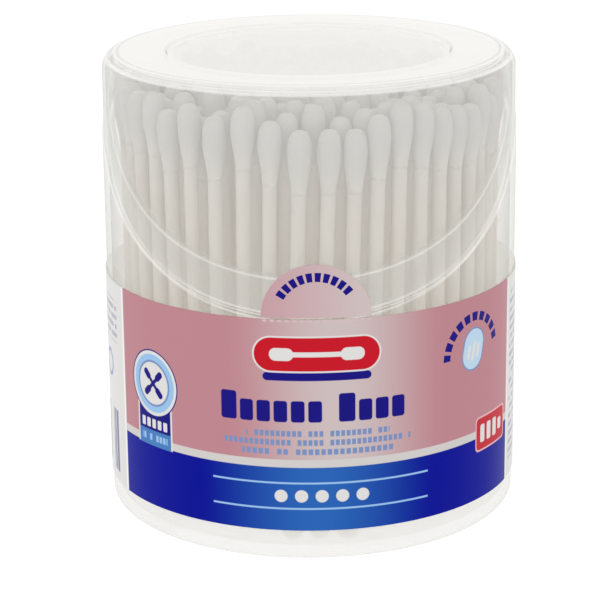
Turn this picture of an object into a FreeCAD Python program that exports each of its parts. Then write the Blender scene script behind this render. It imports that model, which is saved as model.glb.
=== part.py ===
import FreeCAD, Part
import math
import os
import random

import Sketcher

# A round clear tub of cotton swabs with a clear lid hinged at the back. The origin is on the tub's axis
# at its flat underside, +Z is up and -Y is the front, where the lid's edge dips lowest. Millimetres.

SIZES = {
    # Tub
    "tub_radius": 37.74,
    "tub_wall": 1.0,
    "tub_floor": 2.3,
    "base_round": 2.2,
    "floor_round": 1.4,
    # Neck: the stepped-in upper wall that the lid's skirt fits over, on a short shelf under the seam
    "neck_depth": 4.08,
    "neck_thickness": 0.85,
    "shelf_height": 1.6,
    "rim_rise": 5.4,
    "rim_headroom": 3.17,
    # Seam between tub and lid, seen from the side: low in front, rising past a knee to a level back
    "seam_knee_forward": 9.5,
    "seam_knee_drop": 10.4,
    "seam_knee_slope": 45.0,
    "seam_front_bend": 111.6,
    "neck_overlap": 4.4,
    "seam_gap": 0.42,
    # Lid
    "headroom": 2.32,
    "skirt_depth": 5.08,
    "lid_wall": 0.6,
    "lid_top_wall": 1.0,
    "lid_draft": 0.0078,
    "lid_shoulder": 2.8,
    "lid_inner_round": 2.2,
    "lid_clearance": 0.3,
    "stacking_radius": 25.6,
    "stacking_recess": 0.5,
    # Hinge
    "hinge_reach": 3.1,
    "hinge_drop": 3.0,
    "ear_radius": 2.2,
    "ear_thickness": 2.0,
    "ear_foot_drop": 6.0,
    "ear_bite": 1.15,
    "barrel_radius": 2.1,
    "barrel_half_width": 5.0,
    "hinge_side_gap": 0.3,
    "pin_radius": 1.2,
    "pin_play": 0.06,
    "strap_thickness": 1.4,
    "strap_clearance": 0.46,
    "strap_lip": 0.8,
    "strap_grip": 3.2,
    "strap_foot_rise": 0.2,
    "strap_bite": 0.46,
    # Label sleeve and the half disc that seals the lid
    "label_gap": 0.06,
    "label_thickness": 0.2,
    "label_bottom": 5.91,
    "label_below_seam": 0.54,
    "seal_radius": 9.5,
    "seal_tear_gap": 0.3,
    "seal_aside": 1.5,
    # Swabs
    "swab_length": 74.0,
    "bud_length": 11.2,
    "bud_radius": 2.1,
    "bud_neck_radius": 1.4,
    "bud_widest_drop": 4.4,
    "bud_cap_radius": 1.9,
    "bud_cap_drop": 1.7,
    "bud_tip_radius": 1.1,
    "bud_tip_drop": 0.3,
    "stick_radius": 1.25,
    "stick_cover": 1.8,
    "bud_bore_play": 0.04,
    "swab_play": 0.05,
    "wall_play": 0.3,
    "core_ring_radius": 2.965,
    "swab_room": 1.11,
    "swab_turn": 3.2,
    "floor_play": 0.15,
    "lift_low": 1.2,
    "lift_high": 4.3,
    "scatter": 0.5,
    "lean_reach": 2.3,
    "low_patch_from": -8.0,
    "low_patch_to": 17.0,
    # Helper length by which cutting outlines pass the walls
    "cut_margin": 3.0,
}

RING_COUNT = 8
SHARE_LOW = 0.08
SETTLE_SWEEPS = 400
SEED = 11

doc = FreeCAD.newDocument("swab_tub")
sheet = doc.addObject("Spreadsheet::Sheet", "dims")
for row, (alias, number) in enumerate(SIZES.items(), start=1):
    sheet.set(f"A{row}", alias)
    sheet.set(f"B{row}", str(number))
    sheet.setAlias(f"B{row}", alias)
doc.recompute()


def value(expression):
    """What an expression on the sheet's sizes comes to."""
    return float(sheet.evalExpression(expression))


def size(alias):
    return value(f"dims.{alias}")


# Formulas that several pieces share

PANEL_UNDER = "(dims.tub_floor + dims.floor_play + dims.swab_length + dims.lift_high + dims.headroom)"
LID_CEILING = f"({PANEL_UNDER} + dims.stacking_recess)"
LID_HEIGHT = f"({LID_CEILING} + dims.lid_top_wall)"
RIM_BACK = f"({LID_CEILING} - dims.rim_headroom)"
SEAM_BACK = f"({RIM_BACK} - dims.neck_overlap)"
KNEE_HEIGHT = f"({SEAM_BACK} - dims.seam_knee_drop)"
KNEE_Y = "(0 - dims.seam_knee_forward)"
SLOPE_SINE = "sin(dims.seam_knee_slope * 1 deg)"
SLOPE_COSINE = "cos(dims.seam_knee_slope * 1 deg)"
OUTSIDE = "(dims.tub_radius + dims.cut_margin)"
HINGE_Y = "(dims.tub_radius + dims.hinge_reach)"
HINGE_HEIGHT = f"({SEAM_BACK} - dims.hinge_drop)"
EAR_START = "(dims.barrel_half_width + dims.hinge_side_gap)"


def seam_drop(forward):
    """How far the seam falls from its knee to a distance in front of the tub's axis."""
    sine = f"({SLOPE_SINE} - ({forward} - dims.seam_knee_forward) / dims.seam_front_bend)"
    return f"(dims.seam_front_bend * (sqrt(1 - {sine} ^ 2) - {SLOPE_COSINE}))"


SEAM_FRONT = f"({KNEE_HEIGHT} - {seam_drop('dims.tub_radius')})"
LID_LOW = f"({SEAM_FRONT} - dims.skirt_depth)"
NECK_LOW = f"({SEAM_FRONT} - dims.neck_depth)"
LABEL_TOP = f"({SEAM_FRONT} - dims.label_below_seam)"


def lid_radius(height):
    """The lid's outer radius at a height: it narrows a little towards its top."""
    return f"(dims.tub_radius - dims.lid_draft * ({height} - {LID_LOW}))"


def lid_inside(height):
    return f"({lid_radius(height)} - dims.lid_wall)"


def neck_radius(height):
    return f"({lid_inside(height)} - dims.lid_clearance)"


NECK_INSIDE = f"({neck_radius(RIM_BACK)} - dims.neck_thickness)"
WALL_INSIDE = "(dims.tub_radius - dims.tub_wall)"


# Sketch helpers


def plane_of(body, role):
    return next(item for item in body.Origin.OriginFeatures if item.Role == role)


def sketch_on(body, name, role, offset=None):
    sketch = body.newObject("Sketcher::SketchObject", name)
    sketch.AttachmentSupport = [(plane_of(body, role), "")]
    sketch.MapMode = "FlatFace"
    if offset is not None:
        sketch.setExpression("AttachmentOffset.Base.z", offset)
    return sketch


def pin_point(sketch, edge, end, across, up):
    """Ties one end of a sketch line to the sizes that place it."""
    if across == "0" and up == "0":
        sketch.addConstraint(Sketcher.Constraint("Coincident", edge, end, -1, 1))
        return
    for kind, place, axis in (("DistanceX", across, -2), ("DistanceY", up, -1)):
        if place == "0":
            sketch.addConstraint(Sketcher.Constraint("PointOnObject", edge, end, axis))
        else:
            number = value(place)
            index = sketch.addConstraint(Sketcher.Constraint(kind, -1, 1, edge, end, number))
            sketch.setExpression(f"Constraints[{index}]", place)


def add_arc(sketch, start, end, radius, side):
    """An arc of under half a turn. side is 1 where it turns left on its way, and -1 where it turns right."""
    chord = end - start
    half = chord.Length / 2
    middle = (start + end) / 2
    left = FreeCAD.Vector(-chord.y, chord.x, 0).normalize()
    centre = middle + left * (side * math.sqrt(max(radius * radius - half * half, 0)))
    first, last = (start, end) if side > 0 else (end, start)
    angle_of = lambda point: math.atan2(point.y - centre.y, point.x - centre.x)
    circle = Part.Circle(centre, FreeCAD.Vector(0, 0, 1), radius)
    return sketch.addGeometry(Part.ArcOfCircle(circle, angle_of(first), angle_of(last)))


def draw_outline(sketch, corners):
    """A closed outline. Each corner is (across, up), or (across, up, radius, side) where an arc leads to it."""
    points = [FreeCAD.Vector(value(corner[0]), value(corner[1]), 0) for corner in corners]
    ends = []
    for index, corner in enumerate(corners):
        start, end = points[index - 1], points[index]
        if len(corner) == 2:
            edge = sketch.addGeometry(Part.LineSegment(start, end))
            ends.append((edge, 1, 2))
            continue
        radius, side = corner[2], corner[3]
        edge = add_arc(sketch, start, end, value(radius), side)
        number = sketch.addConstraint(Sketcher.Constraint("Radius", edge, value(radius)))
        sketch.setExpression(f"Constraints[{number}]", radius)
        ends.append((edge, 1, 2) if side > 0 else (edge, 2, 1))
    for index, corner in enumerate(corners):
        edge, _, last = ends[index]
        following, first, _ = ends[(index + 1) % len(ends)]
        sketch.addConstraint(Sketcher.Constraint("Coincident", edge, last, following, first))
        pin_point(sketch, edge, last, corner[0], corner[1])


def draw_circle(sketch, across, up, radius):
    centre = FreeCAD.Vector(value(across), value(up), 0)
    circle = Part.Circle(centre, FreeCAD.Vector(0, 0, 1), value(radius))
    edge = sketch.addGeometry(circle)
    pin_point(sketch, edge, 3, across, up)
    number = sketch.addConstraint(Sketcher.Constraint("Radius", edge, value(radius)))
    sketch.setExpression(f"Constraints[{number}]", radius)


def turn(body, name, corners):
    """A full turn of an outline about the vertical axis."""
    sketch = sketch_on(body, name + "_outline", "XZ_Plane")
    draw_outline(sketch, corners)
    feature = body.newObject("PartDesign::Revolution", name)
    feature.Profile = (sketch, [""])
    feature.ReferenceAxis = (sketch, ["V_Axis"])
    feature.Angle = 360
    doc.recompute()
    return feature


def across_body(body, kind, name, sketch, width):
    """A pad or pocket of a side-view sketch, as wide as given and centred on the middle plane."""
    feature = body.newObject("PartDesign::" + kind, name)
    feature.Profile = (sketch, [""])
    feature.SideType = "Symmetric"
    feature.setExpression("Length", width)
    doc.recompute()
    return feature


def seam_outline(rise, back_height, far_height):
    """The side-view region between the seam's curve, raised by rise, and a level line at far_height."""
    knee_height = f"({KNEE_HEIGHT} + {rise})"
    back_bend = f"(({back_height} - {knee_height}) / (1 - {SLOPE_COSINE}))"
    return [
        (f"(0 - {OUTSIDE})", far_height),
        (f"(0 - {OUTSIDE})", f"({knee_height} - {seam_drop(OUTSIDE)})"),
        (KNEE_Y, knee_height, "dims.seam_front_bend", 1),
        (f"({KNEE_Y} + {back_bend} * {SLOPE_SINE})", back_height, back_bend, -1),
        (f"(2 * {OUTSIDE})", back_height),
        (f"(2 * {OUTSIDE})", far_height),
    ]


def cut_at_seam(body, name, rise, back_height, far_height):
    sketch = sketch_on(body, name + "_outline", "YZ_Plane")
    draw_outline(sketch, seam_outline(rise, back_height, far_height))
    return across_body(body, "Pocket", name, sketch, f"4 * {OUTSIDE}")


# Tub: a cup with a thicker neck, cut to the rim's curve, with two hinge ears at the back


def make_tub_blank():
    body = doc.addObject("PartDesign::Body", "tub_blank")
    top = f"({RIM_BACK} + dims.cut_margin)"
    turn(
        body,
        "cup",
        [
            ("0", "0"),
            ("(dims.tub_radius - dims.base_round)", "0"),
            ("dims.tub_radius", "dims.base_round", "dims.base_round", 1),
            ("dims.tub_radius", top),
            (NECK_INSIDE, top),
            (NECK_INSIDE, NECK_LOW),
            (WALL_INSIDE, NECK_LOW),
            (WALL_INSIDE, "(dims.tub_floor + dims.floor_round)"),
            (f"({WALL_INSIDE} - dims.floor_round)", "dims.tub_floor", "dims.floor_round", -1),
            ("0", "dims.tub_floor"),
        ],
    )
    cut_at_seam(body, "rim_cut", "dims.rim_rise", RIM_BACK, f"(2 * {top})")
    ear_top = f"({HINGE_HEIGHT} + dims.ear_radius)"
    ear_low = f"({HINGE_HEIGHT} - dims.ear_radius)"
    ear_root = "(dims.tub_radius - dims.ear_bite)"
    outer_end = f"(0 - {EAR_START} - dims.ear_thickness)"
    for name, start in (("ear_a", EAR_START), ("ear_b", outer_end)):
        sketch = sketch_on(body, name + "_outline", "YZ_Plane", start)
        draw_outline(
            sketch,
            [
                (ear_root, ear_top),
                (ear_root, f"({HINGE_HEIGHT} - dims.ear_foot_drop)"),
                (HINGE_Y, ear_low),
                (f"({HINGE_Y} + dims.ear_radius)", HINGE_HEIGHT, "dims.ear_radius", 1),
                (HINGE_Y, ear_top, "dims.ear_radius", 1),
            ],
        )
        pad = body.newObject("PartDesign::Pad", name)
        pad.Profile = (sketch, [""])
        pad.setExpression("Length", "dims.ear_thickness")
        doc.recompute()
    sketch = sketch_on(body, "ear_bore_outline", "YZ_Plane")
    draw_circle(sketch, HINGE_Y, HINGE_HEIGHT, "(dims.pin_radius + dims.pin_play)")
    across_body(body, "Pocket", "ear_bore", sketch, f"4 * ({EAR_START} + dims.ear_thickness)")
    return body


def make_lid_space():
    """The ring of room outside the neck and above the seam, which the lid's skirt fills."""
    body = doc.addObject("PartDesign::Body", "lid_space")
    top = f"({LID_HEIGHT} + dims.cut_margin)"
    turn(
        body,
        "skirt_ring",
        [
            (neck_radius(LID_LOW), LID_LOW),
            (OUTSIDE, LID_LOW),
            (OUTSIDE, top),
            (neck_radius(top), top),
        ],
    )
    gap = "(0 - dims.seam_gap)"
    back = f"({SEAM_BACK} - dims.seam_gap)"
    cut_at_seam(body, "seam_cut", gap, back, f"({LID_LOW} - 2 * dims.cut_margin)")
    return body


def make_wall_relief():
    """The ring of room inside the wall and under the shelf, so that the wall below it keeps its thickness."""
    body = doc.addObject("PartDesign::Body", "wall_relief")
    low = f"({NECK_LOW} - dims.cut_margin)"
    top = f"({RIM_BACK} + dims.cut_margin)"
    within = f"({NECK_INSIDE} - dims.cut_margin)"
    turn(
        body,
        "relief_ring",
        [(within, low), (WALL_INSIDE, low), (WALL_INSIDE, top), (within, top)],
    )
    shelf = "(0 - dims.seam_gap - dims.shelf_height)"
    back = f"({SEAM_BACK} - dims.seam_gap - dims.shelf_height)"
    cut_at_seam(body, "shelf_cut", shelf, back, f"(2 * {top})")
    return body


def make_tub():
    relieved = doc.addObject("Part::Cut", "relieved_tub")
    relieved.Base = make_tub_blank()
    relieved.Tool = make_wall_relief()
    tub = doc.addObject("Part::Cut", "tub")
    tub.Base = relieved
    tub.Tool = make_lid_space()
    return tub


# Lid: a drafted cap with a rounded shoulder and a recessed top, cut to the seam's curve


def make_lid():
    body = doc.addObject("PartDesign::Body", "lid")
    shoulder_low = f"({LID_HEIGHT} - dims.lid_shoulder)"
    inner_low = f"({LID_CEILING} - dims.lid_inner_round)"
    panel = f"({LID_HEIGHT} - dims.stacking_recess)"
    step_end = "(dims.stacking_radius + dims.stacking_recess)"
    turn(
        body,
        "cap",
        [
            ("0", panel),
            ("0", PANEL_UNDER),
            ("dims.stacking_radius", PANEL_UNDER),
            (step_end, LID_CEILING),
            (f"({lid_inside(inner_low)} - dims.lid_inner_round)", LID_CEILING),
            (lid_inside(inner_low), inner_low, "dims.lid_inner_round", -1),
            (lid_inside(LID_LOW), LID_LOW),
            (lid_radius(LID_LOW), LID_LOW),
            (lid_radius(shoulder_low), shoulder_low),
            (
                f"({lid_radius(shoulder_low)} - dims.lid_shoulder)",
                LID_HEIGHT,
                "dims.lid_shoulder",
                1,
            ),
            (step_end, LID_HEIGHT),
            ("dims.stacking_radius", panel),
        ],
    )
    cut_at_seam(body, "skirt_cut", "0", SEAM_BACK, f"({LID_LOW} - 2 * dims.cut_margin)")

    strap_near = "(dims.tub_radius + dims.strap_clearance)"
    strap_far = f"({strap_near} + dims.strap_thickness)"
    strap_foot = f"({SEAM_BACK} + dims.strap_foot_rise)"
    strap_low = f"({HINGE_HEIGHT} - dims.strap_lip)"
    strap_top = f"({strap_foot} + dims.strap_grip)"
    strap_root = f"({lid_radius(strap_foot)} - dims.strap_bite)"
    sketch = sketch_on(body, "hinge_strap_outline", "YZ_Plane")
    draw_outline(
        sketch,
        [
            (strap_near, strap_foot),
            (strap_near, strap_low),
            (strap_far, strap_low),
            (strap_far, strap_top),
            (strap_root, strap_top),
            (strap_root, strap_foot),
        ],
    )
    across_body(body, "Pad", "hinge_strap", sketch, "2 * dims.barrel_half_width")
    round_pieces = (
        ("hinge_barrel", "dims.barrel_radius", "2 * dims.barrel_half_width"),
        ("hinge_pin", "dims.pin_radius", f"2 * ({EAR_START} + dims.ear_thickness)"),
    )
    for name, radius, width in round_pieces:
        sketch = sketch_on(body, name + "_outline", "YZ_Plane")
        draw_circle(sketch, HINGE_Y, HINGE_HEIGHT, radius)
        across_body(body, "Pad", name, sketch, width)
    return body


# Label sleeve round the tub, and the half disc above it that bridges the seam onto the lid


def make_sleeve(name, bottom, height):
    outer = doc.addObject("Part::Cylinder", name + "_outer")
    outer.setExpression("Radius", "dims.tub_radius + dims.label_gap + dims.label_thickness")
    inner = doc.addObject("Part::Cylinder", name + "_inner")
    inner.setExpression("Radius", "dims.tub_radius + dims.label_gap")
    for cylinder in (outer, inner):
        cylinder.setExpression("Height", height)
        cylinder.setExpression("Placement.Base.z", bottom)
    sleeve = doc.addObject("Part::Cut", name)
    sleeve.Base = outer
    sleeve.Tool = inner
    return sleeve


def make_label():
    return make_sleeve("label", "dims.label_bottom", f"{LABEL_TOP} - dims.label_bottom")


def make_seal():
    seal_low = f"({LABEL_TOP} + dims.seal_tear_gap)"
    sleeve = make_sleeve("seal_sleeve", seal_low, "dims.seal_radius * 2")
    disc = doc.addObject("Part::Cylinder", "seal_disc")
    disc.setExpression("Radius", "dims.seal_radius")
    disc.setExpression("Height", OUTSIDE)
    disc.Placement.Rotation = FreeCAD.Rotation(FreeCAD.Vector(1, 0, 0), 90)
    disc.setExpression("Placement.Base.x", "dims.seal_aside")
    disc.setExpression("Placement.Base.z", seal_low)
    seal = doc.addObject("Part::Common", "safety_seal")
    seal.Base = sleeve
    seal.Tool = disc
    return seal


# One swab: a paper stick and the cotton bud wound on each end


def make_stick():
    stick = doc.addObject("Part::Cylinder", "one_stick")
    stick.setExpression("Radius", "dims.stick_radius")
    stick.setExpression("Height", "dims.swab_length - 2 * dims.stick_cover")
    stick.setExpression("Placement.Base.z", "dims.stick_cover")
    return stick


def make_bud():
    """The upper bud, with the swab's own lower tip at height zero."""
    body = doc.addObject("PartDesign::Body", "one_bud")
    base = "(dims.swab_length - dims.bud_length)"
    bore = "(dims.stick_radius + dims.bud_bore_play)"
    bore_end = "(dims.swab_length - dims.stick_cover + dims.bud_bore_play)"
    turn(
        body,
        "winding",
        [
            (bore, base),
            ("dims.bud_neck_radius", base),
            ("dims.bud_radius", "(dims.swab_length - dims.bud_widest_drop)"),
            ("dims.bud_cap_radius", "(dims.swab_length - dims.bud_cap_drop)"),
            ("dims.bud_tip_radius", "(dims.swab_length - dims.bud_tip_drop)"),
            ("0", "dims.swab_length"),
            ("0", bore_end),
            (bore, bore_end),
        ],
    )
    return body


# Where the swabs stand: rings that fill the tub, loosened by a little scatter and lean


def ring_places():
    """For each ring from the outside in, the places of its swabs on the tub's floor."""
    outer = value(f"{NECK_INSIDE} - dims.wall_play - dims.bud_radius")
    pitch = (outer - size("core_ring_radius")) / (RING_COUNT - 1)
    arc_pitch = size("swab_room") * (2 * size("bud_radius")) ** 2 / pitch
    rings = []
    for number in range(RING_COUNT):
        radius = outer - number * pitch
        count = int(2 * math.pi * radius / arc_pitch)
        start = math.radians(size("swab_turn"))
        turns = [start + 2 * math.pi * (index + 0.5 * number) / count for index in range(count)]
        rings.append([(radius * math.sin(turn_), -radius * math.cos(turn_)) for turn_ in turns])
    return rings, outer


def settle(places, spacing, reach):
    """Pushes places apart until each pair is at least spacing apart, inside a circle of radius reach."""
    places = [list(place) for place in places]
    numbers = range(len(places))
    near = [
        (a, b)
        for a in numbers
        for b in numbers
        if a < b and math.dist(places[a], places[b]) < 2.2 * spacing
    ]
    for _ in range(SETTLE_SWEEPS):
        worst = 0.0
        for a, b in near:
            across = places[b][0] - places[a][0]
            along = places[b][1] - places[a][1]
            apart = math.hypot(across, along)
            push = spacing - apart
            if push > 0:
                worst = max(worst, push)
                share = push / (2 * apart)
                places[a][0] -= across * share
                places[a][1] -= along * share
                places[b][0] += across * share
                places[b][1] += along * share
        for place in places:
            distance = math.hypot(*place)
            if distance > reach:
                worst = max(worst, distance - reach)
                place[0] *= reach / distance
                place[1] *= reach / distance
        if worst < 0.004:
            break
    print("settled to within", round(worst, 4), "mm")
    return places


def swab_axes():
    """For each ring, each swab's lower and upper axis point at its buds' widest, and how far it is lifted."""
    draw = random.Random(SEED)
    rings, reach = ring_places()
    flat = [place for ring in rings for place in ring]
    spacing = 2 * size("bud_radius") + size("swab_play")
    scatter, lean = size("scatter"), size("lean_reach")

    def scattered(place, amount):
        return (place[0] + draw.uniform(-amount, amount), place[1] + draw.uniform(-amount, amount))

    lower = settle([scattered(place, scatter) for place in flat], spacing, reach)
    leaned = []
    for across, along in lower:
        direction = math.atan2(across, -along)
        slide = lean * math.sin(2 * direction + 0.9) / reach
        leaned.append((across - slide * along, along + slide * across))
    upper = settle([scattered(place, scatter) for place in leaned], spacing, reach)

    axes, index = [], 0
    for number, ring in enumerate(rings):
        group = []
        for _ in ring:
            low, high = lower[index], upper[index]
            heading = math.degrees(math.atan2(high[0], -high[1]))
            in_patch = size("low_patch_from") < heading < size("low_patch_to")
            lift = draw.uniform(size("lift_low"), size("lift_high"))
            if draw.random() < SHARE_LOW or (number == 0 and in_patch):
                lift = draw.uniform(0, 0.3)
            group.append((low, high, lift))
            index += 1
        axes.append(group)
    return axes


def swab_placement(low, high, lift):
    """Puts the standing swab's axis through its two places, with its lower tip just off the floor."""
    widest = size("bud_widest_drop")
    floor = size("tub_floor") + size("floor_play") + lift
    span = size("swab_length") - 2 * widest
    start = FreeCAD.Vector(low[0], low[1], floor + widest)
    slope = FreeCAD.Vector(high[0] - low[0], high[1] - low[1], 0)
    rise = math.sqrt(max(span * span - slope.Length**2, 1.0))
    direction = (slope + FreeCAD.Vector(0, 0, rise)).normalize()
    rotation = FreeCAD.Rotation(FreeCAD.Vector(0, 0, 1), direction)
    return FreeCAD.Placement(start - direction * widest, rotation)


def make_swabs():
    """Three nodes a ring: its sticks, its upper buds and its lower buds, each a group of separate solids."""
    stick, bud = make_stick(), make_bud()
    doc.recompute()
    middle = FreeCAD.Vector(0, 0, size("swab_length") / 2)
    flip = FreeCAD.Placement(FreeCAD.Vector(), FreeCAD.Rotation(FreeCAD.Vector(1, 0, 0), 180), middle)
    lower_bud = bud.Shape.copy()
    lower_bud.Placement = flip.multiply(lower_bud.Placement)
    kinds = (("sticks", stick.Shape), ("upper_buds", bud.Shape), ("lower_buds", lower_bud))
    made = []
    for number, group in enumerate(swab_axes(), start=1):
        for kind, shape in kinds:
            solids = []
            for low, high, lift in group:
                solid = shape.copy()
                solid.Placement = swab_placement(low, high, lift).multiply(solid.Placement)
                solids.append(solid)
            feature = doc.addObject("Part::Feature", f"{kind}_ring_{number}")
            feature.Shape = Part.makeCompound(solids)
            made.append(feature)
    return made


def check_and_write(pieces):
    doc.recompute()
    for item in doc.Objects:
        bad = [state for state in item.State if state in ("Invalid", "Error")]
        if bad:
            raise RuntimeError(f"{item.Name} is {bad}")
    for piece in pieces:
        shape = piece.Shape
        if shape.isNull() or not shape.isValid() or not shape.Solids:
            raise RuntimeError(f"{piece.Label} has no valid solid")
    os.makedirs("parts", exist_ok=True)
    for piece in pieces:
        piece.Shape.exportStep(f"parts/{piece.Label}.step")
        count = len(piece.Shape.Solids)
        print(piece.Label, count, "solids", round(piece.Shape.Volume, 1), "mm3")


def main():
    pieces = [make_tub(), make_lid(), make_label(), make_seal()]
    pieces += make_swabs()
    check_and_write(pieces)


main()
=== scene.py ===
import math

import bpy
import numpy as np
from mathutils import Matrix, Vector, noise


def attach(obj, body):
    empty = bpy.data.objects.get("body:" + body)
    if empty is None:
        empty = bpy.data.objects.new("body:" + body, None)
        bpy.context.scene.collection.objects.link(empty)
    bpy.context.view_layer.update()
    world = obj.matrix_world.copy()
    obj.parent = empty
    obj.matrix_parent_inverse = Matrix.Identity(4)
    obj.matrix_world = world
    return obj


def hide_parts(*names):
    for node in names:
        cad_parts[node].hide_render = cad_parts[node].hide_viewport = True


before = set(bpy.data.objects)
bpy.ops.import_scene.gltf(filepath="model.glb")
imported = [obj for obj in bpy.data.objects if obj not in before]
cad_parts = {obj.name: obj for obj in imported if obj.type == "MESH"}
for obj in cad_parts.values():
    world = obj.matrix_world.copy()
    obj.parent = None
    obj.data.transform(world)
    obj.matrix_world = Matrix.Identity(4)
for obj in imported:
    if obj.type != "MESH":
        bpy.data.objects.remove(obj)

# The looks of a clear tub of cotton swabs with a printed label. The origin is on the tub's axis at its flat
# underside, +Z is up and -Y is the front. Metres, except on the print, where sizes are millimetres.


def note_bounds():
    """Brings the scene's placements up to date."""
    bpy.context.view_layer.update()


note_bounds()

# Camera, where the photo was taken from

CAMERA_PLACE = Vector((0.0069722, -0.4190123, 0.1624291))
CAMERA_RIGHT = Vector((0.99977842, 0.01842756, -0.01017532))
CAMERA_UP = Vector((0.00445056, 0.28741245, 0.95779657))
CAMERA_LOOK = Vector((-0.02057436, 0.95762963, -0.28726676))
LENS_MM = 140.404
SENSOR_MM = 36.0
NEAREST_SEEN = 0.01


def place_camera():
    data = bpy.data.cameras.new("camera")
    camera = bpy.data.objects.new("camera", data)
    bpy.context.scene.collection.objects.link(camera)
    turned = Matrix((CAMERA_RIGHT, CAMERA_UP, -CAMERA_LOOK)).transposed().to_4x4()
    camera.matrix_world = Matrix.Translation(CAMERA_PLACE) @ turned
    data.lens = LENS_MM
    data.sensor_width = SENSOR_MM
    data.clip_start = NEAREST_SEEN
    bpy.context.scene.camera = camera


# Colours, given as seen on a screen from 0 to 255


def ink(red, green, blue):
    """The light that a screen colour stands for."""
    light = []
    for part in (red / 255, green / 255, blue / 255):
        light.append(part / 12.92 if part < 0.04 else ((part + 0.055) / 1.055) ** 2.4)
    return (*light, 1.0)


PINK_SIDE = ink(184, 130, 138)
# The pink print with a painted highlight laid over it, for the panel's middle
PINK_WITH_PAINTED_HIGHLIGHT = ink(199, 184, 184)
CREAM = ink(203, 199, 197)
BLUE_SIDE = ink(2, 12, 143)
BLUE_MIDDLE = ink(40, 97, 176)
NAVY = ink(24, 18, 122)
RED = ink(192, 22, 38)
PAPER_WHITE = ink(216, 215, 213)
PALE_BLUE = ink(150, 188, 226)
SOFT_BLUE = ink(120, 140, 184)
FINE_PRINT = ink(150, 152, 172)
MARK_BLUE = ink(184, 208, 228)
RIBBON_BLUE = ink(72, 122, 184)
TAG_RED = ink(190, 44, 58)
TAG_RIM = ink(226, 180, 184)
BAR_GREY = ink(120, 122, 150)
SIDE_WHITE = ink(238, 238, 236)
TEAR_PINK = ink(206, 182, 184)
# The seal's pink print; the right-hand colour also holds a painted highlight
SEAL_LEFT = ink(192, 151, 158)
SEAL_RIGHT = ink(200, 184, 184)
PLASTIC_MILK = (0.95, 0.95, 0.945, 1.0)
PLASTIC_SHEEN = (0.80, 0.80, 0.78, 1.0)
PLASTIC_EDGE_ON = (0.86, 0.865, 0.85, 1.0)
# LIT_EDGE is the colour of painted light that glows on the clear plastic
LIT_EDGE = ink(253, 251, 248)
CLEAR_THROUGH = (0.985, 0.985, 0.98, 1.0)
# LINE_THROUGH lets less light through a painted shade line
LINE_THROUGH = (0.5, 0.5, 0.49, 1.0)
COTTON_LIGHT = (0.645, 0.637, 0.617, 1.0)
COTTON_DARK = (0.59, 0.582, 0.562, 1.0)
PAPER_LIGHT = (0.69, 0.675, 0.655, 1.0)
PAPER_DARK = (0.64, 0.62, 0.59, 1.0)


# Shader helpers


def new_material(name):
    material = bpy.data.materials.new(name)
    material.use_nodes = True
    material.node_tree.nodes.clear()
    return material, material.node_tree


def add_node(tree, kind, inputs=(), **settings):
    """Adds a shader node. Each input is (place or name, a plain value or another node's output)."""
    made = tree.nodes.new("ShaderNode" + kind)
    for key, setting in settings.items():
        setattr(made, key, setting)
    for place, source in inputs:
        if isinstance(source, bpy.types.NodeSocket):
            tree.links.new(source, made.inputs[place])
        else:
            made.inputs[place].default_value = source
    return made


def number(tree, operation, *sources):
    return add_node(tree, "Math", enumerate(sources), operation=operation).outputs[0]


def vector(tree, operation, *sources):
    made = add_node(tree, "VectorMath", enumerate(sources), operation=operation)
    return made.outputs["Value" if operation == "LENGTH" else "Vector"]


def held(tree, source):
    """A number kept from 0 to 1."""
    return add_node(tree, "Clamp", [(0, source)]).outputs[0]


def blend(tree, share, under, over):
    return add_node(tree, "MixRGB", [(0, share), (1, under), (2, over)]).outputs[0]


def mix_shaders(tree, share, first, second):
    return add_node(tree, "MixShader", [(0, share), (1, first), (2, second)]).outputs[0]


def add_shaders(tree, first, second):
    return add_node(tree, "AddShader", [(0, first), (1, second)]).outputs[0]


def ramp(tree, source, low, high):
    """0 below low and 1 above high, or the other way round where low is the larger."""
    inputs = [("Value", source), ("From Min", low), ("From Max", high)]
    return add_node(tree, "MapRange", inputs, interpolation_type="SMOOTHSTEP").outputs[0]


def within(tree, source, low, high, soft):
    """1 between low and high and 0 beyond, with soft edges."""
    above = ramp(tree, source, low - soft, low)
    below = ramp(tree, source, high + soft, high)
    return number(tree, "MULTIPLY", above, below)


def to_surface(tree, shader):
    add_node(tree, "OutputMaterial", [("Surface", shader)])


def give(objects, material):
    for item in objects:
        item.data.materials.clear()
        item.data.materials.append(material)


def object_place(tree):
    return add_node(tree, "TexCoord").outputs["Object"]


# Printing on a sheet that is wrapped round the tub

SHEET_RADIUS = 38.0
MM = 1000.0
INK_EDGE = 0.12
SHARPEST_CORNER = 0.06
FACES_INWARD = -0.01
LABEL_INSIDE_PAINTED_GLOW = 0.75
FILM_ROUGHNESS = 0.3
FILM_SHEEN = 0.05
BLOCK_FILLED = 0.72
BLOCKS_KEPT = 0.86
ARC_FILLED = 0.7


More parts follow.
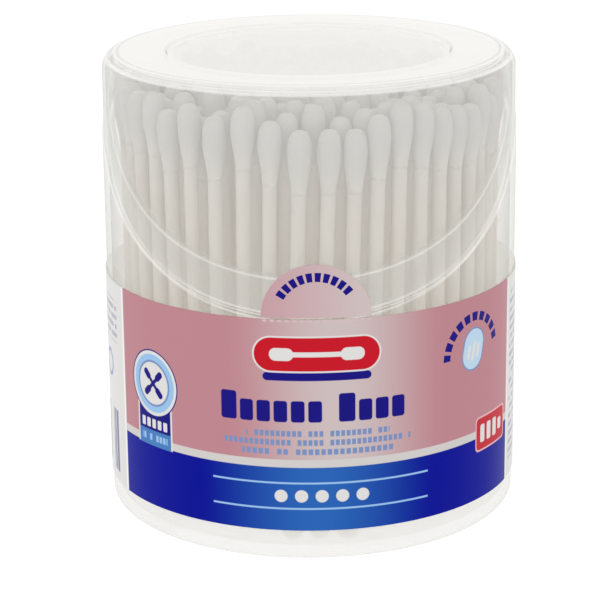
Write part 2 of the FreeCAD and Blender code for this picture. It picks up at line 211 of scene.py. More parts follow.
def rounded_box_group():
    """Node group: 1 inside a rounded and turned box on the sheet, and 0 outside."""
    group = bpy.data.node_groups.new("rounded_box", "ShaderNodeTree")
    for name in ("Place", "Middle", "Half"):
        group.interface.new_socket(name, in_out="INPUT", socket_type="NodeSocketVector")
    for name in ("Corner", "Tilt"):
        group.interface.new_socket(name, in_out="INPUT", socket_type="NodeSocketFloat")
    group.interface.new_socket("Share", in_out="OUTPUT", socket_type="NodeSocketFloat")
    start = group.nodes.new("NodeGroupInput")
    end = group.nodes.new("NodeGroupOutput")
    from_middle = vector(group, "SUBTRACT", start.outputs["Place"], start.outputs["Middle"])
    turned = add_node(
        group,
        "VectorRotate",
        [("Vector", from_middle), ("Angle", start.outputs["Tilt"])],
        rotation_type="Z_AXIS",
    )
    beyond = vector(group, "SUBTRACT", vector(group, "ABSOLUTE", turned.outputs[0]), start.outputs["Half"])
    outside = vector(group, "LENGTH", vector(group, "MAXIMUM", beyond, (0, 0, 0)))
    depth = number(group, "SUBTRACT", start.outputs["Corner"], outside)
    share = number(group, "MULTIPLY_ADD", depth, 1 / INK_EDGE, 0.5)
    group.links.new(held(group, share), end.inputs["Share"])
    return group


class Print:
    """The printed colour of a sheet: each shape is laid over what is under it. Along and up are in mm."""

    box_group = rounded_box_group()

    def __init__(self, tree):
        self.tree = tree
        split = add_node(tree, "SeparateXYZ", [(0, object_place(tree))])
        backwards = number(tree, "MULTIPLY", split.outputs[1], -1.0)
        self.angle = number(tree, "ARCTAN2", split.outputs[0], backwards)
        self.along = number(tree, "MULTIPLY", self.angle, SHEET_RADIUS)
        self.up = number(tree, "MULTIPLY", split.outputs[2], MM)
        self.place = add_node(tree, "CombineXYZ", [(0, self.along), (1, self.up)]).outputs[0]
        self.colour = PAPER_WHITE

    def box(self, middle, width, height, corner=SHARPEST_CORNER, tilt=0.0):
        corner = max(corner, SHARPEST_CORNER)
        inputs = [
            ("Place", self.place),
            ("Middle", (middle[0], middle[1], 0)),
            ("Half", (width / 2 - corner, height / 2 - corner, 0)),
            ("Corner", corner),
            ("Tilt", math.radians(-tilt)),
        ]
        return add_node(self.tree, "Group", node_tree=self.box_group, inputs=inputs).outputs[0]

    def disc(self, middle, radius):
        return self.box(middle, 2 * radius, 2 * radius, radius)

    def both(self, first, second):
        return number(self.tree, "MULTIPLY", first, second)

    def lay(self, share, colour):
        self.colour = blend(self.tree, share, self.colour, colour)

    def fade(self, middle, reach, inner, outer):
        """A colour that goes smoothly from inner at a place along the sheet to outer at reach from it."""
        away = number(self.tree, "ABSOLUTE", number(self.tree, "SUBTRACT", self.along, middle))
        return blend(self.tree, ramp(self.tree, away, 0.0, reach), inner, outer)

    def cells(self, source, pitch, filled):
        """Blocks at an even pitch along a direction, each filled for a share of it."""
        part = number(self.tree, "FRACT", number(self.tree, "DIVIDE", source, pitch))
        return number(self.tree, "LESS_THAN", part, filled)

    def step(self, source, pitch):
        """The whole number of pitches passed along a direction."""
        return number(self.tree, "FLOOR", number(self.tree, "DIVIDE", source, pitch))

    def some(self, source, pitch, share, seed):
        """Keeps a share of the blocks, drawn by chance."""
        step = number(self.tree, "ADD", self.step(source, pitch), seed)
        drawn = add_node(self.tree, "TexWhiteNoise", [("W", step)], noise_dimensions="1D").outputs["Value"]
        return number(self.tree, "LESS_THAN", drawn, share)

    def row(self, middle, width, height, letter, seed):
        """A row of small blocks in the rhythm of words."""
        filled = self.cells(self.along, letter, BLOCK_FILLED)
        blocks = self.both(filled, self.some(self.along, letter, BLOCKS_KEPT, seed))
        return self.both(blocks, self.box(middle, width, height))

    def arc_of_blocks(self, middle, radius, height, first, last, count):
        """Blocks on an arc, from the first to the last angle in degrees, turning clockwise."""
        tree = self.tree
        off = vector(tree, "SUBTRACT", self.place, (middle[0], middle[1], 0))
        split = add_node(tree, "SeparateXYZ", [(0, off)])
        angle = number(tree, "ARCTAN2", split.outputs[1], split.outputs[0])
        turned = number(tree, "SUBTRACT", math.radians(first), angle)
        span = math.radians(first - last)
        blocks = self.cells(turned, span / count, ARC_FILLED)
        after = number(tree, "GREATER_THAN", turned, 0.0)
        before = number(tree, "LESS_THAN", turned, span)
        away = number(tree, "ABSOLUTE", number(tree, "SUBTRACT", vector(tree, "LENGTH", off), radius))
        ring = number(tree, "LESS_THAN", away, height / 2)
        return self.both(self.both(blocks, ring), self.both(after, before))


# Label: places along are from the front middle, and up from the tub's underside, in millimetres. A box's
# sizes are its width, height and rounding.

PANEL_LEFT = -40.8
PANEL_RIGHT = 46.5
PANEL_PAST_EDGE = 1.0
LABEL_LOW = 5.91
LABEL_TOP = 44.54
BAND_TOP = 17.65
STRIP_TOP = 19.1
PRINT_MIDDLE = 1.7
# Middle and reach of the painted highlight on the pink panel
PAINTED_HIGHLIGHT_MIDDLE = 5.5
PAINTED_HIGHLIGHT_REACH = 21.0
BLUE_FADE = 22.5


def lay_panel(sheet):
    """A pink panel with a painted highlight near its middle, over a cream strip and a blue band."""
    middle = (PANEL_LEFT + PANEL_RIGHT) / 2
    width = PANEL_RIGHT - PANEL_LEFT
    low = LABEL_LOW - PANEL_PAST_EDGE
    top = LABEL_TOP + PANEL_PAST_EDGE
    pink = sheet.fade(PAINTED_HIGHLIGHT_MIDDLE, PAINTED_HIGHLIGHT_REACH, PINK_WITH_PAINTED_HIGHLIGHT, PINK_SIDE)
    blue = sheet.fade(PRINT_MIDDLE, BLUE_FADE, BLUE_MIDDLE, BLUE_SIDE)
    for height, colour in ((top, pink), (STRIP_TOP, CREAM), (BAND_TOP, blue)):
        sheet.lay(sheet.box((middle, (low + height) / 2), width, height - low), colour)


BAND_MARKS_MIDDLE = 2.3
BAND_LINES_UP = (14.75, 10.0)
BAND_LINE = (39.6, 0.34)
DOT_UP = 12.35
DOT_RADIUS = 1.15
DOT_PITCH = 3.6


def lay_band_marks(sheet):
    """Five dots between two thin lines on the band."""
    for up in BAND_LINES_UP:
        sheet.lay(sheet.box((BAND_MARKS_MIDDLE, up), *BAND_LINE), PALE_BLUE)
    for step in range(-2, 3):
        place = (BAND_MARKS_MIDDLE + DOT_PITCH * step, DOT_UP)
        sheet.lay(sheet.disc(place, DOT_RADIUS), PAPER_WHITE)


EMBLEM = (1.6, 38.3)
EMBLEM_BAR_UP = 34.3
EMBLEM_BAR = (19.0, 1.5, 0.75)
EMBLEM_RIM = (22.6, 6.6, 3.3)
EMBLEM_PILL = (22.0, 6.0, 3.0)
EMBLEM_STICK = (13.0, 0.9, 0.3)
EMBLEM_BUD = (4.2, 2.3, 1.1)
EMBLEM_BUD_REACH = 6.2


def lay_emblem(sheet):
    """A red pill with a white swab lying in it, and a navy bar under it."""
    along, up = EMBLEM
    sheet.lay(sheet.box((along, EMBLEM_BAR_UP), *EMBLEM_BAR), NAVY)
    sheet.lay(sheet.box(EMBLEM, *EMBLEM_RIM), PAPER_WHITE)
    sheet.lay(sheet.box(EMBLEM, *EMBLEM_PILL), RED)
    sheet.lay(sheet.box(EMBLEM, *EMBLEM_STICK), PAPER_WHITE)
    for side in (-1, 1):
        place = (along + EMBLEM_BUD_REACH * side, up)
        sheet.lay(sheet.box(place, *EMBLEM_BUD), PAPER_WHITE)


TALL_BLOCK = (2.9, 5.2, 0.5)
LOW_BLOCK = (2.4, 3.9, 0.5)
WORDS = ((TALL_BLOCK,) + 5 * (LOW_BLOCK,), (TALL_BLOCK,) + 3 * (LOW_BLOCK,))
WORDS_LEFT = -15.6
WORDS_LOW = 26.0
BLOCK_GAP = 0.62
WORD_GAP = 2.3
# Each fine row: its height up the label, its width, the pitch of its blocks and the draw of its gaps
FINE_ROWS = ((23.9, 25.5, 0.95, 3.0), (22.25, 33.5, 0.95, 40.0), (20.55, 27.0, 1.1, 80.0))
FINE_ROW_HEIGHT = 1.05


def lay_words(sheet):
    """Two groups of blocks in place of words, and three rows of fine blocks under them."""
    along = WORDS_LEFT
    for word in WORDS:
        for width, height, corner in word:
            place = (along + width / 2, WORDS_LOW + height / 2)
            sheet.lay(sheet.box(place, width, height, corner), NAVY)
            along += width + BLOCK_GAP
        along += WORD_GAP
    for up, width, pitch, seed in FINE_ROWS:
        row = sheet.row((PRINT_MIDDLE, up), width, FINE_ROW_HEIGHT, pitch, seed)
        sheet.lay(row, SOFT_BLUE)


BADGE = (-31.1, 29.2)
BADGE_RINGS = (
    (6.25, NAVY),
    (6.0, PAPER_WHITE),
    (5.4, PALE_BLUE),
    (4.3, SOFT_BLUE),
    (3.9, PAPER_WHITE),
)
RIBBON_UP = 21.6
RIBBON_RIM = (9.5, 8.4)
RIBBON = (8.7, 8.4)
RIBBON_FOOT_UP = 18.8
RIBBON_FOOT = (8.7, 2.9)
RIBBON_BLOCK = (1.0, 1.7, 0.2)
RIBBON_BLOCK_PITCH = 1.5
FOOT_ROW_UP = 18.9
# Width, height, pitch of the blocks and draw of the gaps
FOOT_ROW = (7.0, 1.2, 0.9, 7.0)
CROSSED_TILT = 45
CROSSED_STICK = (0.7, 6.0, 0.3)
CROSSED_BUD = (1.25, 2.2, 0.6)
CROSSED_REACH = 2.2


def lay_badge(sheet):
    """A round badge with two crossed swabs on a hanging ribbon."""
    along, up = BADGE
    sheet.lay(sheet.box((along, RIBBON_UP), *RIBBON_RIM), PAPER_WHITE)
    sheet.lay(sheet.box((along, RIBBON_UP), *RIBBON), NAVY)
    sheet.lay(sheet.box((along, RIBBON_FOOT_UP), *RIBBON_FOOT), RIBBON_BLUE)
    for step in range(-2, 3):
        place = (along + RIBBON_BLOCK_PITCH * step, RIBBON_UP)
        sheet.lay(sheet.box(place, *RIBBON_BLOCK), PAPER_WHITE)
    sheet.lay(sheet.row((along, FOOT_ROW_UP), *FOOT_ROW), PALE_BLUE)
    for radius, colour in BADGE_RINGS:
        sheet.lay(sheet.disc(BADGE, radius), colour)
    for tilt in (CROSSED_TILT, -CROSSED_TILT):
        sheet.lay(sheet.box(BADGE, *CROSSED_STICK, tilt), NAVY)
        turn = math.radians(tilt)
        for reach in (-CROSSED_REACH, CROSSED_REACH):
            place = (along - reach * math.sin(turn), up + reach * math.cos(turn))
            sheet.lay(sheet.box(place, *CROSSED_BUD, tilt), NAVY)


MARK = (33.2, 34.9)
MARK_TILT = -14
MARK_RIM = (6.0, 8.0, 3.0)
MARK_OVAL = (5.4, 7.4, 2.7)
MARK_ARC_DROP = 0.9
# Radius, height of the blocks, first and last angle, and count
MARK_ARC = (6.9, 1.6, 200.0, 5.0, 11)
MARK_LINE_PITCH = 1.3
MARK_LINE_DROP = 0.4
MARK_LINE_WIDTH = 0.7
MARK_LINE_HEIGHT = 3.6
MARK_LINE_CORNER = 0.3


def lay_opening_mark(sheet):
    """A pale oval with three lines under an arc of blocks, where the lid is pushed."""
    along, up = MARK
    sheet.lay(sheet.arc_of_blocks((along, up - MARK_ARC_DROP), *MARK_ARC), NAVY)
    sheet.lay(sheet.box(MARK, *MARK_RIM, MARK_TILT), SOFT_BLUE)
    sheet.lay(sheet.box(MARK, *MARK_OVAL, MARK_TILT), MARK_BLUE)
    for step in (-1, 0, 1):
        place = (along + MARK_LINE_PITCH * step, up - MARK_LINE_DROP)
        height = MARK_LINE_HEIGHT - abs(step)
        line = sheet.box(place, MARK_LINE_WIDTH, height, MARK_LINE_CORNER, MARK_TILT)
        sheet.lay(line, PAPER_WHITE)


TAG = (39.6, 18.2)
TAG_OUTSIDE = (11.0, 6.6, 1.0)
TAG_INSIDE = (10.4, 6.0, 0.8)
TAG_BAR_FIRST = -3.3
TAG_BAR_PITCH = 2.2
TAG_BAR_WIDTH = 1.4
TAG_BAR_HEIGHTS = (3.4, 3.4, 3.4, 2.2)
TAG_BAR_CORNER = 0.4


def lay_tag(sheet):
    """A red tag with four bars that overlaps the band."""
    along, up = TAG
    sheet.lay(sheet.box(TAG, *TAG_OUTSIDE), TAG_RIM)
    sheet.lay(sheet.box(TAG, *TAG_INSIDE), TAG_RED)
    for step, height in enumerate(TAG_BAR_HEIGHTS):
        place = (along + TAG_BAR_FIRST + TAG_BAR_PITCH * step, up)
        sheet.lay(sheet.box(place, TAG_BAR_WIDTH, height, TAG_BAR_CORNER), PAPER_WHITE)


FINE_LINE_PITCH = 1.7
FINE_LINE_FILLED = 0.5
FINE_LETTER_PITCH = 0.8
FINE_LETTER_FILLED = 0.7
FINE_LETTERS_KEPT = 0.84
FINE_LINE_DRAW = 500.0
# Each block of fine print: its middle along, its width, its low and its top edge
FINE_BLOCKS = (
    (60.0, 23.0, 9.0, 42.0),
    (88.0, 24.0, 9.0, 42.0),
    (-54.0, 19.0, 33.0, 41.0),
    (-88.0, 30.0, 9.0, 42.0),
)
BARS = (-54.5, 13.8)
BARS_SIZE = (20.0, 12.0)
BAR_PITCH = 0.42
BARS_KEPT = 0.5
BARS_DRAW = 5.0
RING = (-50.5, 28.0)
RING_OUTSIDE = 2.7
RING_INSIDE = 2.0
SIDE_STRIP = (0.5, 60.0)
SIDE_STRIP_UP = 25.0


def lay_back(sheet):
    """The plain panel behind: blocks of fine print, some upright bars and a ring."""
    lines = sheet.cells(sheet.up, FINE_LINE_PITCH, FINE_LINE_FILLED)
    draw = number(sheet.tree, "MULTIPLY", sheet.step(sheet.up, FINE_LINE_PITCH), FINE_LINE_DRAW)
    letters = sheet.cells(sheet.along, FINE_LETTER_PITCH, FINE_LETTER_FILLED)
    kept = sheet.some(sheet.along, FINE_LETTER_PITCH, FINE_LETTERS_KEPT, draw)
    fine = sheet.both(lines, sheet.both(letters, kept))
    for middle, width, low, top in FINE_BLOCKS:
        block = sheet.box((middle, (low + top) / 2), width, top - low)
        sheet.lay(sheet.both(fine, block), FINE_PRINT)
    bars = sheet.some(sheet.along, BAR_PITCH, BARS_KEPT, BARS_DRAW)
    sheet.lay(sheet.both(bars, sheet.box(BARS, *BARS_SIZE)), BAR_GREY)
    sheet.lay(sheet.disc(RING, RING_OUTSIDE), SOFT_BLUE)
    sheet.lay(sheet.disc(RING, RING_INSIDE), PAPER_WHITE)
    for along in (PANEL_LEFT - SIDE_STRIP[0], PANEL_RIGHT + SIDE_STRIP[0]):
        sheet.lay(sheet.box((along, SIDE_STRIP_UP), *SIDE_STRIP), SIDE_WHITE)


SEAL_MIDDLE = 1.5
TEAR_PITCH = 1.3
TEAR_FILLED = 0.55
TEAR_UP = 44.3
TEAR_SIZE = (19.0, 0.4)


def lay_tear_dots(sheet):
    dots = sheet.cells(sheet.along, TEAR_PITCH, TEAR_FILLED)
    sheet.lay(sheet.both(dots, sheet.box((SEAL_MIDDLE, TEAR_UP), *TEAR_SIZE)), TEAR_PINK)


def printed_paper(name, lay):
    """Printed film: the print outside, and inside a white that glows a little, painted light standing in
    for the room's light coming through the film.
    """
    material, tree = new_material(name)
    sheet = Print(tree)
    lay(sheet)
    facing = add_node(tree, "SeparateXYZ", [(0, add_node(tree, "TexCoord").outputs["Normal"])])
    place = add_node(tree, "SeparateXYZ", [(0, object_place(tree))])
    outward = number(tree, "MULTIPLY", facing.outputs[0], place.outputs[0])
    outward = number(tree, "MULTIPLY_ADD", facing.outputs[1], place.outputs[1], outward)
    inner = number(tree, "LESS_THAN", outward, FACES_INWARD)
    inputs = [
        ("Base Color", blend(tree, inner, sheet.colour, PAPER_WHITE)),
        ("Roughness", FILM_ROUGHNESS),
        ("Specular IOR Level", FILM_SHEEN),
    ]
    surface = add_node(tree, "BsdfPrincipled", inputs).outputs[0]
    # Painted glow on the inner face, in place of light coming through the film
    through = number(tree, "MULTIPLY", inner, LABEL_INSIDE_PAINTED_GLOW)
    glow = add_node(tree, "Emission", [("Color", PAPER_WHITE), ("Strength", through)]).outputs[0]
    to_surface(tree, add_shaders(tree, surface, glow))
    return material


def label_print(sheet):
    lay_panel(sheet)
    lay_band_marks(sheet)
    lay_emblem(sheet)
    lay_words(sheet)
    lay_badge(sheet)
    lay_opening_mark(sheet)
    lay_tag(sheet)
    lay_back(sheet)
    lay_tear_dots(sheet)


SEAL_FADE = (-8.0, 9.0)
SEAL_ARC_UP = 44.9
# Radius, height of the blocks, first and last angle, and count
SEAL_ARC = (7.2, 1.6, 150.0, 33.0, 10)


def seal_print(sheet):
    # Pink print, painted paler towards the right with the same painted highlight as the panel
    inputs = [("Value", sheet.along), ("From Min", SEAL_FADE[0]), ("From Max", SEAL_FADE[1])]
    share = add_node(sheet.tree, "MapRange", inputs).outputs[0]
    sheet.colour = blend(sheet.tree, share, SEAL_LEFT, SEAL_RIGHT)
    sheet.lay(sheet.arc_of_blocks((SEAL_MIDDLE, SEAL_ARC_UP), *SEAL_ARC), NAVY)


# Clear plastic

EDGE_ON_POWER = 5.0
CLOUD_SCALE = 90.0
CLOUD_CHANGE = 0.4
CLOUD_LEAST = 0.8
GLOWING_MILK = 0.25
SHEEN_ROUGHNESS = 0.08
SHEEN_FACING = 0.04
SHEEN_EDGE_ON = 0.7


class Plastic:
    """Clear moulded plastic: a little milky and duller where it is seen edge on, with painted light glowing
    at its cut edges and other given places.
    """

    def __init__(self, name):
        self.material, self.tree = new_material(name)
        place = add_node(self.tree, "SeparateXYZ", [(0, object_place(self.tree))]).outputs
        flat = add_node(self.tree, "CombineXYZ", [(0, place[0]), (1, place[1])]).outputs[0]
        self.up = number(self.tree, "MULTIPLY", place[2], MM)
        self.radius = number(self.tree, "MULTIPLY", vector(self.tree, "LENGTH", flat), MM)
        normal = add_node(self.tree, "TexCoord").outputs["Normal"]
        tilt = add_node(self.tree, "SeparateXYZ", [(0, normal)]).outputs[2]
        self.level = number(self.tree, "ABSOLUTE", tilt)

    def finish(self, milkiness, lit, shade):
        """Joins the plastic: its share of milk, how strongly painted light glows on its edges and other
        places, and how dark a painted shade line is.
        """
        tree = self.tree
        edge_on = add_node(tree, "LayerWeight", [("Blend", 0.5)]).outputs["Facing"]
        steep = number(tree, "POWER", edge_on, EDGE_ON_POWER)
        through = blend(tree, steep, CLEAR_THROUGH, PLASTIC_EDGE_ON)
        # Painted shade line, darker where shade is set
        through = blend(tree, shade, through, LINE_THROUGH)
        clear = add_node(tree, "BsdfTransparent", [("Color", through)]).outputs[0]
        inputs = [("Vector", object_place(tree)), ("Scale", CLOUD_SCALE), ("Detail", 2.0)]
        grain = add_node(tree, "TexNoise", inputs).outputs[0]
        uneven = number(tree, "MULTIPLY_ADD", grain, CLOUD_CHANGE, CLOUD_LEAST)
        cloud = number(tree, "MULTIPLY", milkiness, uneven)
        milk = add_node(tree, "BsdfDiffuse", [("Color", PLASTIC_MILK)]).outputs[0]
        glow = add_node(tree, "BsdfTranslucent", [("Color", PLASTIC_MILK)]).outputs[0]
        body = mix_shaders(tree, cloud, clear, mix_shaders(tree, GLOWING_MILK, milk, glow))
        inputs = [("Color", PLASTIC_SHEEN), ("Roughness", SHEEN_ROUGHNESS)]
        gloss = add_node(tree, "BsdfGlossy", inputs).outputs[0]
        sheen = number(tree, "MULTIPLY_ADD", steep, SHEEN_EDGE_ON, SHEEN_FACING)
        body = mix_shaders(tree, sheen, body, gloss)
        # Painted light: the plastic glows where lit is set
        bright = add_node(tree, "Emission", [("Color", LIT_EDGE)]).outputs[0]
        to_surface(tree, mix_shaders(tree, lit, body, bright))
        return self.material


# Where the plastic changes: heights and radii in millimetres, angles on the shoulder in degrees

BASE_MILK = 0.28
WALL_MILK = 0.10
TOP_MILK = 0.28
# Painted glow over the tub's base
BASE_GLOW = 0.14
BASE_FADE = (6.2, 5.4)
# Painted highlight on the cut faces of the tub's rim and shelf and the lid's lower edge
EDGE_LIT = 0.45
LEVEL_FACE = (0.3, 0.4)
BORDER = 0.1
RIM_ZONE = (43.0, 81.0)
SKIRT_ZONE = (43.0, 77.0)
RIM_OUTER_PART = (36.4, 36.95)
SHELF_OUTER_PART = (37.5, 38.5)
SKIRT_OUTER_PART = (37.5, 38.5)
PANEL_LEVEL = (0.92, 0.985)
PANEL_RISE = (80.0, 82.0)
# Painted glow on the lid's top, brighter in its outer ring
PANEL_GLOW = (0.38, 0.62)
RECESS_FADE = (24.1, 25.6)
SHOULDER_RADIUS = 34.6
SHOULDER_HEIGHT = 81.77
SHOULDER_RISE = (0.0, 0.3)
SHOULDER_RUN = (-0.4, -0.2)
# Painted highlight on the lid's shoulder
HIGHLIGHT_ANGLES = (37.0, 46.0, 6.0)
HIGHLIGHT_LIT = 0.55
# Painted shade line where the lid's top meets its shoulder
LINE_ANGLES = (86.0, 95.0, 3.0)
LINE_SHADE = 0.45


def tub_plastic():
    """The tub's plastic: milkier at the base, with painted highlights glowing on the rim's and the shelf's
    cut faces and a painted glow over the base.
    """
    plastic = Plastic("clear_tub")
    tree = plastic.tree
    base = ramp(tree, plastic.up, *BASE_FADE)
    milk = number(tree, "MULTIPLY_ADD", base, BASE_MILK - WALL_MILK, WALL_MILK)
    zone = within(tree, plastic.up, *RIM_ZONE, BORDER)
    rim = within(tree, plastic.radius, *RIM_OUTER_PART, BORDER)
    shelf = within(tree, plastic.radius, *SHELF_OUTER_PART, BORDER)
    outer = number(tree, "MAXIMUM", rim, shelf)
    level = number(tree, "MULTIPLY", ramp(tree, plastic.level, *LEVEL_FACE), outer)
    edge = number(tree, "MULTIPLY", number(tree, "MULTIPLY", level, zone), EDGE_LIT)
    lit = number(tree, "MAXIMUM", edge, number(tree, "MULTIPLY", base, BASE_GLOW))
    return plastic.finish(milk, lit, 0.0)


def lid_plastic():
    """The lid's plastic: a milky top that glows with painted light, brighter in an outer ring, a painted
    highlight and a painted shade line on the shoulder, and a painted highlight on the lower edge.
    """
    plastic = Plastic("clear_lid")
    tree = plastic.tree
    level_top = ramp(tree, plastic.level, *PANEL_LEVEL)
    panel = number(tree, "MULTIPLY", level_top, ramp(tree, plastic.up, *PANEL_RISE))
    milk = number(tree, "MULTIPLY_ADD", panel, TOP_MILK - WALL_MILK, WALL_MILK)
    zone = within(tree, plastic.up, *SKIRT_ZONE, BORDER)
    skirt = number(tree, "MULTIPLY", zone, within(tree, plastic.radius, *SKIRT_OUTER_PART, BORDER))
    edge = number(tree, "MULTIPLY", ramp(tree, plastic.level, *LEVEL_FACE), skirt)
    rise = number(tree, "SUBTRACT", plastic.up, SHOULDER_HEIGHT)
    run = number(tree, "SUBTRACT", plastic.radius, SHOULDER_RADIUS)
    angle = number(tree, "MULTIPLY", number(tree, "ARCTAN2", rise, run), 180 / math.pi)
    shoulder_rise = ramp(tree, rise, *SHOULDER_RISE)
    shoulder = number(tree, "MULTIPLY", shoulder_rise, ramp(tree, run, *SHOULDER_RUN))
    highlight = number(tree, "MULTIPLY", within(tree, angle, *HIGHLIGHT_ANGLES), shoulder)
    line = number(tree, "MULTIPLY", within(tree, angle, *LINE_ANGLES), shoulder)
    edge_lit = number(tree, "MULTIPLY", edge, EDGE_LIT)
    lit = number(tree, "MAXIMUM", edge_lit, number(tree, "MULTIPLY", highlight, HIGHLIGHT_LIT))
    outside = ramp(tree, plastic.radius, *RECESS_FADE)
    glow = number(tree, "MULTIPLY_ADD", outside, PANEL_GLOW[1] - PANEL_GLOW[0], PANEL_GLOW[0])
    lit = number(tree, "MAXIMUM", lit, number(tree, "MULTIPLY", panel, glow))
    lit = number(tree, "MULTIPLY", lit, number(tree, "MULTIPLY_ADD", line, -LINE_SHADE, 1.0))
    return plastic.finish(milk, lit, number(tree, "MULTIPLY", line, LINE_SHADE))


# Cotton and paper

COTTON_GRAIN = 900.0
COTTON_BUMP = 0.0002
PAPER_GRAIN = 500.0
PAPER_BUMP = 0.00005
FINER = 6
BUMP_STRENGTH = 0.5
# Painted bounce light: cotton and paper tinted warmer low in the tub, from none above to full below
BOUNCE_TINT_FULL_BELOW = 0.058
BOUNCE_TINT_GONE_ABOVE = 0.074
PAINTED_BOUNCE_TINT = (1.0, 0.975, 0.935, 1.0)
NO_PAINTED_BOUNCE_TINT = (1.0, 1.0, 1.0, 1.0)
LIGHT_PASSED = 0.25
# LIGHT_FILL is the strength of a painted fill glow that brightens the gaps between swabs
LIGHT_FILL = 0.18
WINDING = "winding"


def soft_surface(name, light, dark, grain, bump_depth, under=None):
    """A fibrous surface, tinted warmer low in the tub by painted bounce light, that passes a little of the
    light round it and glows a little with painted fill light. Where a colour lies under it, the winding
    thins out to that colour."""
    material, tree = new_material(name)
    place = object_place(tree)
    inputs = [("Vector", place), ("Scale", grain), ("Detail", 4.0)]
    wide = add_node(tree, "TexNoise", inputs).outputs[0]
    inputs = [("Vector", place), ("Scale", FINER * grain), ("Detail", 3.0)]
    fine = add_node(tree, "TexNoise", inputs).outputs[0]
    inputs = [("Height", fine), ("Strength", BUMP_STRENGTH), ("Distance", bump_depth)]
    bump = add_node(tree, "Bump", inputs).outputs[0]
    colour = blend(tree, wide, dark, light)
    if under:
        winding = add_node(tree, "Attribute", attribute_name=WINDING).outputs["Fac"]
        colour = blend(tree, winding, under, colour)
    height = add_node(tree, "SeparateXYZ", [(0, place)]).outputs[2]
    bounce_tint = blend(tree, ramp(tree, height, BOUNCE_TINT_GONE_ABOVE, BOUNCE_TINT_FULL_BELOW), NO_PAINTED_BOUNCE_TINT, PAINTED_BOUNCE_TINT)
    colour = vector(tree, "MULTIPLY", colour, bounce_tint)
    face = add_node(tree, "BsdfDiffuse", [("Color", colour), ("Normal", bump)]).outputs[0]
    through = add_node(tree, "BsdfTranslucent", [("Color", colour)]).outputs[0]
    # Painted fill light: the surface glows a little in its own colour
    fill = add_node(tree, "Emission", [("Color", colour), ("Strength", LIGHT_FILL)]).outputs[0]
    body = mix_shaders(tree, LIGHT_PASSED, face, through)
    to_surface(tree, add_shaders(tree, body, fill))
    return material


# Cotton buds, wound a little unevenly on the sticks

THIN_WINDING = 0.0055
STICK_COVER = 0.0018
BUD_LENGTH = 0.0112
BORE_RADIUS = 0.00129
BORE_PLAY = 0.00004
# Height over the neck and radius, from the neck to the tip
BUD_ROWS = (
    (0.0, 0.001295),
    (0.0010, 0.00134),
    (0.0023, 0.00150),
    (0.0036, 0.00172),
    (0.0048, 0.00193),
    (0.0059, 0.00206),
    (0.0068, 0.00210),
    (0.0078, 0.00209),
    (0.0088, 0.00202),
    (0.0096, 0.00189),
    (0.0103, 0.00164),
    (0.0108, 0.00130),
    (0.0111, 0.00082),
)
LUMP = 0.035
LUMP_ROUND = 0.9
LUMP_ALONG = 380
UPPER_SIDES = 24
LOWER_SIDES = 18
DRAW_STEP = 7.3
RING_DRAW_STEP = 100


def separate_solids(item):
    """The corner points of each separate solid of a CAD node."""
    mesh = item.data
    points = np.array([corner.co for corner in mesh.vertices])
    _, same = np.unique(np.round(points, 6), axis=0, return_inverse=True)
    same = same.ravel()
    owner = list(range(int(same.max()) + 1))

    def first_of(index):
        while owner[index] != index:
            owner[index] = owner[owner[index]]
            index = owner[index]
        return index

    for edge in mesh.edges:
        one, other = (first_of(int(same[end])) for end in edge.vertices)
        owner[one] = other
    groups = {}
    for index, point in enumerate(points):
        groups.setdefault(first_of(int(same[index])), []).append(point)
    return [np.array(group) for group in groups.values()]


def stick_ends(item):
    """The middle of each stick's lower and upper end."""
    ends = []
    for points in separate_solids(item):
        split = (points[:, 2].min() + points[:, 2].max()) / 2
        low = Vector(points[points[:, 2] < split].mean(axis=0))
        high = Vector(points[points[:, 2] > split].mean(axis=0))
        ends.append((low, high))
    return ends


def add_bud(corners, shares, faces, stick_end, outward, seed, around):
    """One bud's mesh: the winding from its neck to its tip, closed by the bore that holds the stick. Its
    share is how thick the winding is over the paper, from 0 at the neck to 1."""
    base = stick_end + outward * (STICK_COVER - BUD_LENGTH)
    side = outward.orthogonal().normalized()
    other = outward.cross(side)
    bore_end = BUD_LENGTH - STICK_COVER + BORE_PLAY
    rows = [(bore_end, BORE_RADIUS, 0.0), (0.0, BORE_RADIUS, 0.0)]
    rows += [(height, radius, LUMP) for height, radius in BUD_ROWS]
    start = len(corners)
    for height, radius, lump in rows:
        for step in range(around):
            angle = 2 * math.pi * step / around
            across = side * math.cos(angle) + other * math.sin(angle)
            spot = Vector((seed, 0, 0)) + across * LUMP_ROUND + Vector((0, 0, height * LUMP_ALONG))
            uneven = 1 + lump * noise.noise(spot)
            corners.append(base + outward * height + across * radius * uneven)
            shares.append(min(max(height / THIN_WINDING, 0.0), 1.0))
    for row in range(len(rows) - 1):
        for step in range(around):
            here = start + row * around + step
            after = start + row * around + (step + 1) % around
            faces.append((here, after, after + around, here + around))
    bore_middle, tip = len(corners), len(corners) + 1
    corners.append(base + outward * bore_end)
    corners.append(base + outward * BUD_LENGTH)
    shares += [1.0, 1.0]
    last = start + (len(rows) - 1) * around
    for step in range(around):
        following = (step + 1) % around
        faces.append((bore_middle, start + following, start + step))
        faces.append((tip, last + step, last + following))


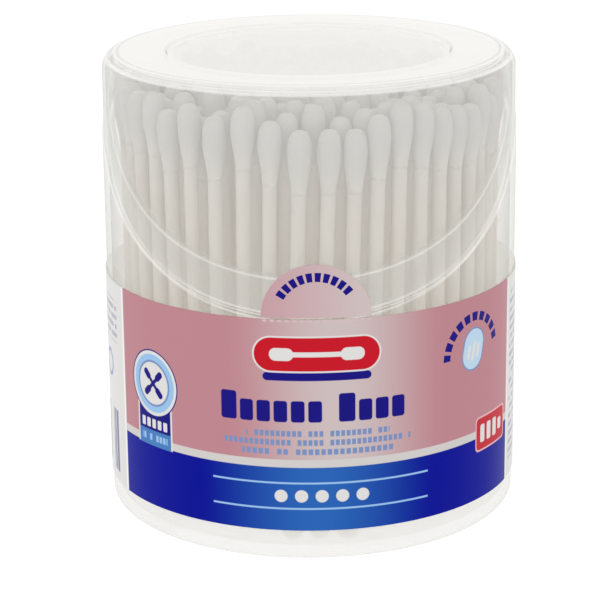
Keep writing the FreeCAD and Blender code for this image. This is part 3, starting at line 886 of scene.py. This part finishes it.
def add_cotton(ring, sticks, cotton):
    """Finer upper and lower buds for one ring of swabs."""
    ends = stick_ends(sticks)
    for kind, around in (("upper_buds", UPPER_SIDES), ("lower_buds", LOWER_SIDES)):
        corners, shares, faces = [], [], []
        for index, (low, high) in enumerate(ends):
            outward = (high - low).normalized()
            place = high
            if kind == "lower_buds":
                outward, place = -outward, low
            seed = DRAW_STEP * index + RING_DRAW_STEP * ring
            add_bud(corners, shares, faces, place, outward, seed, around)
        mesh = bpy.data.meshes.new(f"fine_{kind}_{ring}")
        mesh.from_pydata([tuple(corner) for corner in corners], [], faces)
        mesh.shade_smooth()
        winding = mesh.attributes.new(WINDING, "FLOAT", "POINT")
        winding.data.foreach_set("value", shares)
        piece = bpy.data.objects.new(f"fine_{kind}_{ring}", mesh)
        bpy.context.scene.collection.objects.link(piece)
        mesh.materials.append(cotton)
        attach(piece, "tub_body")
        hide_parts(f"{kind}_ring_{ring}")


def nodes_named(start):
    return [item for name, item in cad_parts.items() if name.startswith(start)]


def dress():
    give(nodes_named("tub"), tub_plastic())
    give(nodes_named("lid"), lid_plastic())
    give(nodes_named("label"), printed_paper("label_print", label_print))
    give(nodes_named("safety_seal"), printed_paper("seal_print", seal_print))
    cotton = soft_surface(
        "cotton", COTTON_LIGHT, COTTON_DARK, COTTON_GRAIN, COTTON_BUMP, under=PAPER_LIGHT
    )
    paper = soft_surface("paper_stick", PAPER_LIGHT, PAPER_DARK, PAPER_GRAIN, PAPER_BUMP)
    give(nodes_named("upper_buds") + nodes_named("lower_buds"), cotton)
    sticks = nodes_named("sticks_ring")
    give(sticks, paper)
    for item in sticks:
        add_cotton(int(item.name.rsplit("_", 1)[1]), item, cotton)


# Studio: a white floor and surround with one soft light

FLOOR_HALF = 6.0
FLOOR_DROP = 0.0001
FLOOR_COLOUR = (0.10, 0.10, 0.10, 1.0)
FLOOR_ROUGHNESS = 0.9
FLOOR_LIGHT = 0.96
WHITE = (1.0, 1.0, 1.0, 1.0)
KEY_PLACE = (-0.45, -0.6, 0.75)
KEY_TARGET = (0, 0, 0.04)
KEY_SIZE = 0.5
KEY_POWER = 0.8


def add_key_light():
    data = bpy.data.lights.new("key", "AREA")
    data.shape = "RECTANGLE"
    data.size = KEY_SIZE
    data.size_y = KEY_SIZE
    data.energy = KEY_POWER
    light = bpy.data.objects.new("key", data)
    light.location = KEY_PLACE
    aim = Vector(KEY_TARGET) - Vector(KEY_PLACE)
    light.rotation_euler = aim.to_track_quat("-Z", "Y").to_euler()
    bpy.context.scene.collection.objects.link(light)


def add_floor():
    half = FLOOR_HALF
    corners = [(-half, -half, 0), (half, -half, 0), (half, half, 0), (-half, half, 0)]
    mesh = bpy.data.meshes.new("floor")
    mesh.from_pydata(corners, [], [(0, 1, 2, 3)])
    floor = bpy.data.objects.new("floor", mesh)
    floor.location = (0, 0, -FLOOR_DROP)
    bpy.context.scene.collection.objects.link(floor)
    material, tree = new_material("floor_white")
    inputs = [
        ("Base Color", FLOOR_COLOUR),
        ("Roughness", FLOOR_ROUGHNESS),
        ("Specular IOR Level", 0.0),
        ("Emission Color", WHITE),
        ("Emission Strength", FLOOR_LIGHT),
    ]
    to_surface(tree, add_node(tree, "BsdfPrincipled", inputs).outputs[0])
    give([floor], material)


def build_studio():
    add_floor()
    world = bpy.data.worlds.new("surround")
    world.use_nodes = True
    back = world.node_tree.nodes["Background"]
    back.inputs["Color"].default_value = WHITE
    back.inputs["Strength"].default_value = 1.0
    bpy.context.scene.world = world
    add_key_light()
    bpy.context.scene.view_settings.view_transform = "Standard"


place_camera()
dress()
build_studio()
note_bounds()
